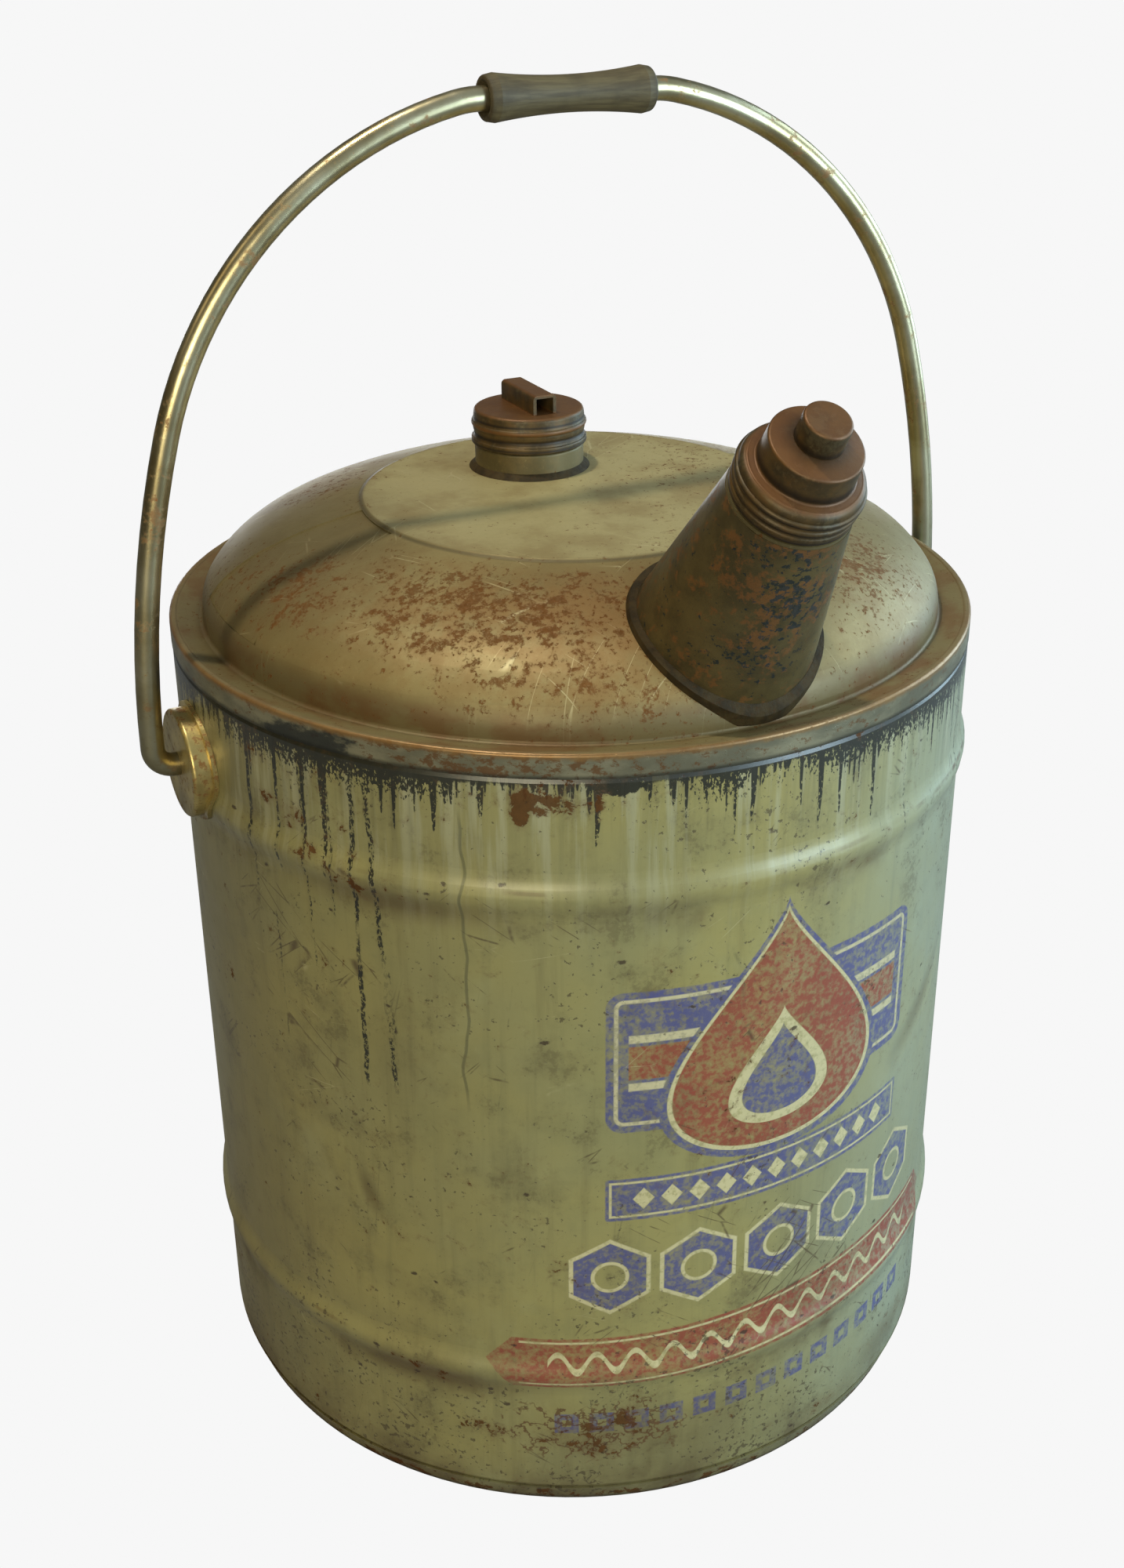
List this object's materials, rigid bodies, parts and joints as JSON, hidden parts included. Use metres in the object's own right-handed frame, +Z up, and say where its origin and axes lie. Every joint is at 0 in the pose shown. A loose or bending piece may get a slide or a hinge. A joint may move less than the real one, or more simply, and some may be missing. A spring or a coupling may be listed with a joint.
{
  "type": "motor oil can",
  "caption": "Round sheet-steel oil can with a domed top, angled conical pouring spout, screw caps on spout and filler, and a swinging wire bail with a spool grip.",
  "frame": {"origin": "centre of the drum's base on the ground plane", "axes": "+Z up the drum's axis, -Y towards the pouring spout and the printed front, +X and -X through the bail ears"},
  "size_m": [0.323, 0.3112, 0.4801],
  "materials": {
    "body_paint": "worn olive lacquer with printed graphics, satin",
    "dome_metal": "tarnished lacquered steel with rust mottling",
    "spout_metal": "dark tarnished steel with rust specks",
    "cap_metal": "brown rusted steel, satin",
    "solder": "dull grey solder",
    "ear_metal": "tarnished plated steel",
    "bail_metal": "aged zinc-plated steel rod",
    "grip_wood": "dark handled hardwood, matte",
    "liner": "cork and rubber sealing disc",
    "seam_compound": "seam lining compound"
  },
  "bodies": {
    "can": {"body_shell": "body_paint", "bottom_pan": "body_paint", "dome_top": "dome_metal", "top_seam_compound": "seam_compound", "bottom_seam_compound": "seam_compound", "spout_cone": "spout_metal", "spout_solder_bead": "solder", "spout_ferrule": "cap_metal", "filler_neck": "dome_metal", "filler_neck_solder": "solder", "left_ear": "ear_metal", "right_ear": "ear_metal", "left_ear_weld": "ear_metal", "right_ear_weld": "ear_metal"},
    "bail": {"bail_rod": "bail_metal", "left_bail_washer": "bail_metal", "right_bail_washer": "bail_metal"},
    "grip": {"grip": "grip_wood"},
    "filler_liner": {"filler_cap_liner": "liner"},
    "filler_cap": {"filler_cap": "cap_metal", "filler_cap_bar": "cap_metal"},
    "spout_liner": {"spout_cap_liner": "liner"},
    "spout_cap": {"spout_cap": "cap_metal", "spout_cap_knob": "cap_metal"}
  },
  "joints": [
    {"name": "bail_swing", "type": "hinge", "parent": "can", "child": "bail", "pos_m": [0, 0, 0.2641], "axis": [-1, 0, 0], "range_deg": [-42, 133]},
    {"name": "grip_spin", "type": "hinge", "parent": "bail", "child": "grip", "pos_m": [0, 0, 0.4724], "axis": [1, 0, 0], "continuous": true},
    {"name": "filler_cap_lift", "type": "slide", "parent": "can", "child": "filler_liner", "axis": [0, 0, 1], "range_m": [0, 0.012]},
    {"name": "filler_cap_turn", "type": "hinge", "parent": "filler_liner", "child": "filler_cap", "pos_m": [0, 0.0337, 0.3548], "axis": [0, 0, 1], "range_deg": [0, 1080]},
    {"name": "spout_cap_lift", "type": "slide", "parent": "can", "child": "spout_liner", "axis": [0, -0.5402, 0.8415], "range_m": [0, 0.012]},
    {"name": "spout_cap_turn", "type": "hinge", "parent": "spout_liner", "child": "spout_cap", "pos_m": [0, -0.14722, 0.38541], "axis": [0, -0.5402, 0.8415], "range_deg": [0, 1080]}
  ],
  "couplings": [
    {"joint": "filler_cap_turn", "follows": "filler_cap_lift", "rad_per_m": 1570.8},
    {"joint": "spout_cap_turn", "follows": "spout_cap_lift", "rad_per_m": 1570.8}
  ]
}
